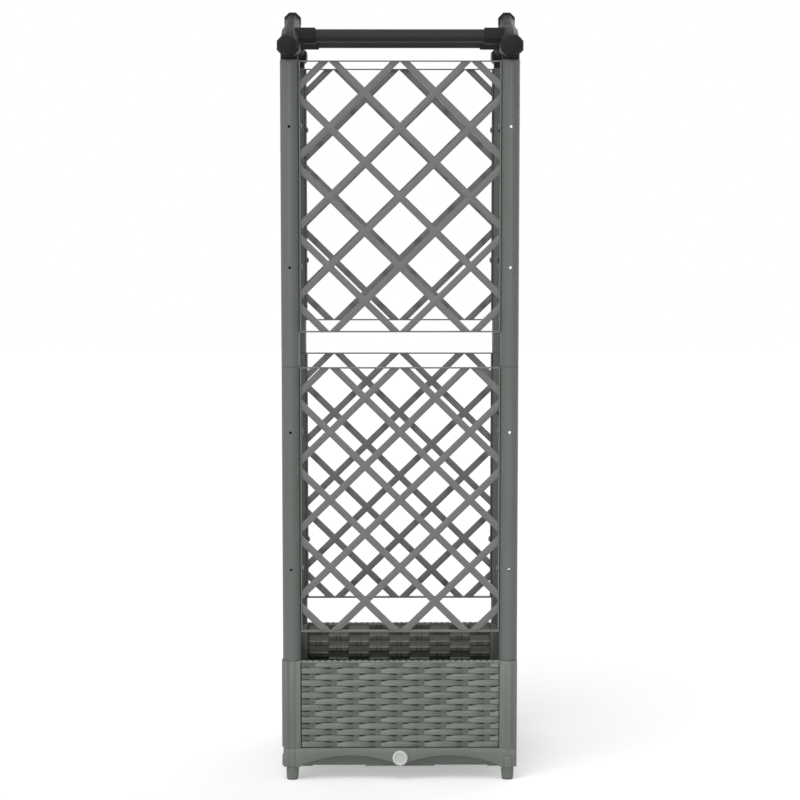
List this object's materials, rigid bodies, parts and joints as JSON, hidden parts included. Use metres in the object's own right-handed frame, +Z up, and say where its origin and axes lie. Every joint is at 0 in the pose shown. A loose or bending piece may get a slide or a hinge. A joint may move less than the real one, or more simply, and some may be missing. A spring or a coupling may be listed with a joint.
{
  "type": "planter with trellis",
  "caption": "Rectangular floor planter with woven-pattern walls over a water tray, and a tall frame of posts holding diagonal lattice panels for climbing plants.",
  "frame": {"origin": "on the floor, in the middle under the box, level with the soles of the feet", "axes": "+Z up along the posts, +X to the right and -Y to the front as the picture shows it"},
  "size_m": [0.434, 0.4566, 1.4037],
  "materials": {
    "resin_grey": "satin moulded resin",
    "resin_dark": "plain moulded resin",
    "fitting_black": "satin moulded resin",
    "plug_grey": "satin",
    "seal_rubber": "matt",
    "screw_steel": "dark coated steel"
  },
  "bodies": {
    "planter": {"wall_front": "resin_grey", "wall_right": "resin_grey", "wall_back": "resin_grey", "wall_left": "resin_grey", "base_skirt": "resin_grey", "foot_front_left": "resin_grey", "foot_front_right": "resin_grey", "foot_back_right": "resin_grey", "foot_back_left": "resin_grey", "water_tray": "resin_dark", "soil_floor": "resin_dark", "lower_post_front_left": "resin_grey", "upper_post_front_left": "resin_grey", "lower_post_front_right": "resin_grey", "upper_post_front_right": "resin_grey", "lower_post_back_right": "resin_grey", "upper_post_back_right": "resin_grey", "lower_post_back_left": "resin_grey", "upper_post_back_left": "resin_grey", "trellis_front_lower": "resin_grey", "trellis_front_upper": "resin_grey", "trellis_back_lower": "resin_grey", "trellis_back_upper": "resin_grey", "screw_front_left_lower_low": "screw_steel", "screw_front_left_lower_high": "screw_steel", "screw_front_left_upper_low": "screw_steel", "screw_front_left_upper_high": "screw_steel", "screw_front_right_lower_low": "screw_steel", "screw_front_right_lower_high": "screw_steel", "screw_front_right_upper_low": "screw_steel", "screw_front_right_upper_high": "screw_steel", "screw_back_right_lower_low": "screw_steel", "screw_back_right_lower_high": "screw_steel", "screw_back_right_upper_low": "screw_steel", "screw_back_right_upper_high": "screw_steel", "screw_back_left_lower_low": "screw_steel", "screw_back_left_lower_high": "screw_steel", "screw_back_left_upper_low": "screw_steel", "screw_back_left_upper_high": "screw_steel", "connector_front_left": "fitting_black", "connector_front_right": "fitting_black", "connector_back_right": "fitting_black", "connector_back_left": "fitting_black", "ball_cap_front_left": "fitting_black", "ball_cap_front_right": "fitting_black", "ball_cap_back_right": "fitting_black", "ball_cap_back_left": "fitting_black", "crossbar_front": "fitting_black", "crossbar_back": "fitting_black", "ridge_elbow_left": "fitting_black", "ridge_elbow_right": "fitting_black"},
    "drain_plug": {"drain_plug": "plug_grey", "drain_seal": "seal_rubber"}
  },
  "joints": [
    {"name": "drain_plug_pull", "type": "slide", "parent": "planter", "child": "drain_plug", "axis": [0, -1, 0], "range_m": [0, 0.02]}
  ]
}
